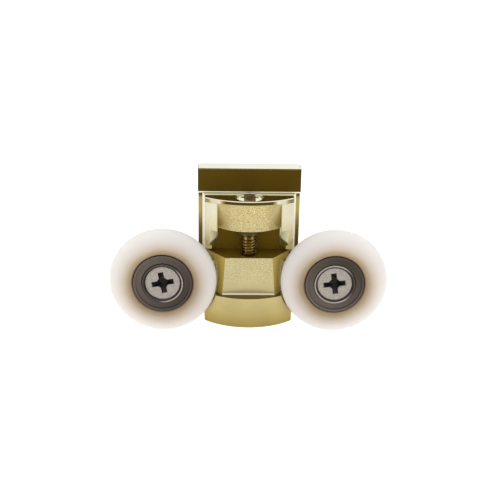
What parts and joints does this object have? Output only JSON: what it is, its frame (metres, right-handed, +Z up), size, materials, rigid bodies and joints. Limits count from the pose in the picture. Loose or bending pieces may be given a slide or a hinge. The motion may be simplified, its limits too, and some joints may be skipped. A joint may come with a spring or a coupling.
{
  "type": "sliding door roller",
  "caption": "Twin-wheel roller that hangs a sliding glass door from its rail, with a screw that sets the door's height.",
  "frame": {"origin": "centre of the fixing hole in the glass, on the glass's front face", "axes": "+X to the right along the rail, +Y back through the glass, +Z up"},
  "size_m": [0.065, 0.0241, 0.0379],
  "materials": {
    "gold_plate": "gold-plated zinc die casting",
    "gold_screw": "gold-plated steel",
    "spring_steel": "oiled spring steel",
    "screw_steel": "zinc-plated",
    "bearing_steel": "ground bearing steel",
    "shield_steel": "pressed steel",
    "ball_steel": "polished",
    "cage_brass": "pressed",
    "tyre_nylon": "natural white nylon",
    "bush_nylon": "natural nylon",
    "gasket_rubber": "clear grey vinyl"
  },
  "bodies": {
    "mount": {"housing": "gold_plate", "front_gasket": "gasket_rubber", "glass_bush": "bush_nylon", "rear_gasket": "gasket_rubber", "clamp_disc": "gold_plate", "clamp_screw": "screw_steel"},
    "adjuster": {"adjusting_screw": "gold_screw", "adjuster_washer": "gold_screw", "adjuster_clip": "spring_steel"},
    "carriage": {"carriage": "gold_plate", "left_axle_screw": "screw_steel", "left_spacer": "screw_steel", "left_inner_ring": "bearing_steel", "right_axle_screw": "screw_steel", "right_spacer": "screw_steel", "right_inner_ring": "bearing_steel"},
    "left_wheel": {"left_tyre": "tyre_nylon", "left_outer_ring": "bearing_steel", "left_front_shield": "shield_steel", "left_rear_shield": "shield_steel"},
    "left_cage": {"left_cage": "cage_brass", "left_balls": "ball_steel"},
    "right_wheel": {"right_tyre": "tyre_nylon", "right_outer_ring": "bearing_steel", "right_front_shield": "shield_steel", "right_rear_shield": "shield_steel"},
    "right_cage": {"right_cage": "cage_brass", "right_balls": "ball_steel"}
  },
  "joints": [
    {"name": "adjuster_turn", "type": "hinge", "parent": "mount", "child": "adjuster", "pos_m": [0, -0.00805, 0.005], "axis": [0, 0, 1], "range_deg": [-451, 2161]},
    {"name": "carriage_lift", "type": "slide", "parent": "mount", "child": "carriage", "axis": [0, 0, 1], "range_m": [-0.0042, 0.00088]},
    {"name": "left_wheel_spin", "type": "hinge", "parent": "carriage", "child": "left_wheel", "pos_m": [-0.02, -0.0113, -0.0072], "axis": [0, 1, 0], "continuous": true},
    {"name": "left_cage_spin", "type": "hinge", "parent": "carriage", "child": "left_cage", "pos_m": [-0.02, -0.0113, -0.0072], "axis": [0, 1, 0], "continuous": true},
    {"name": "right_wheel_spin", "type": "hinge", "parent": "carriage", "child": "right_wheel", "pos_m": [0.02, -0.0113, -0.0072], "axis": [0, 1, 0], "continuous": true},
    {"name": "right_cage_spin", "type": "hinge", "parent": "carriage", "child": "right_cage", "pos_m": [0.02, -0.0113, -0.0072], "axis": [0, 1, 0], "continuous": true}
  ],
  "couplings": [
    {"joint": "adjuster_turn", "follows": "carriage_lift", "rad_per_m": -8976},
    {"joint": "left_cage_spin", "follows": "left_wheel_spin", "ratio": 0.586},
    {"joint": "right_cage_spin", "follows": "right_wheel_spin", "ratio": 0.586}
  ]
}
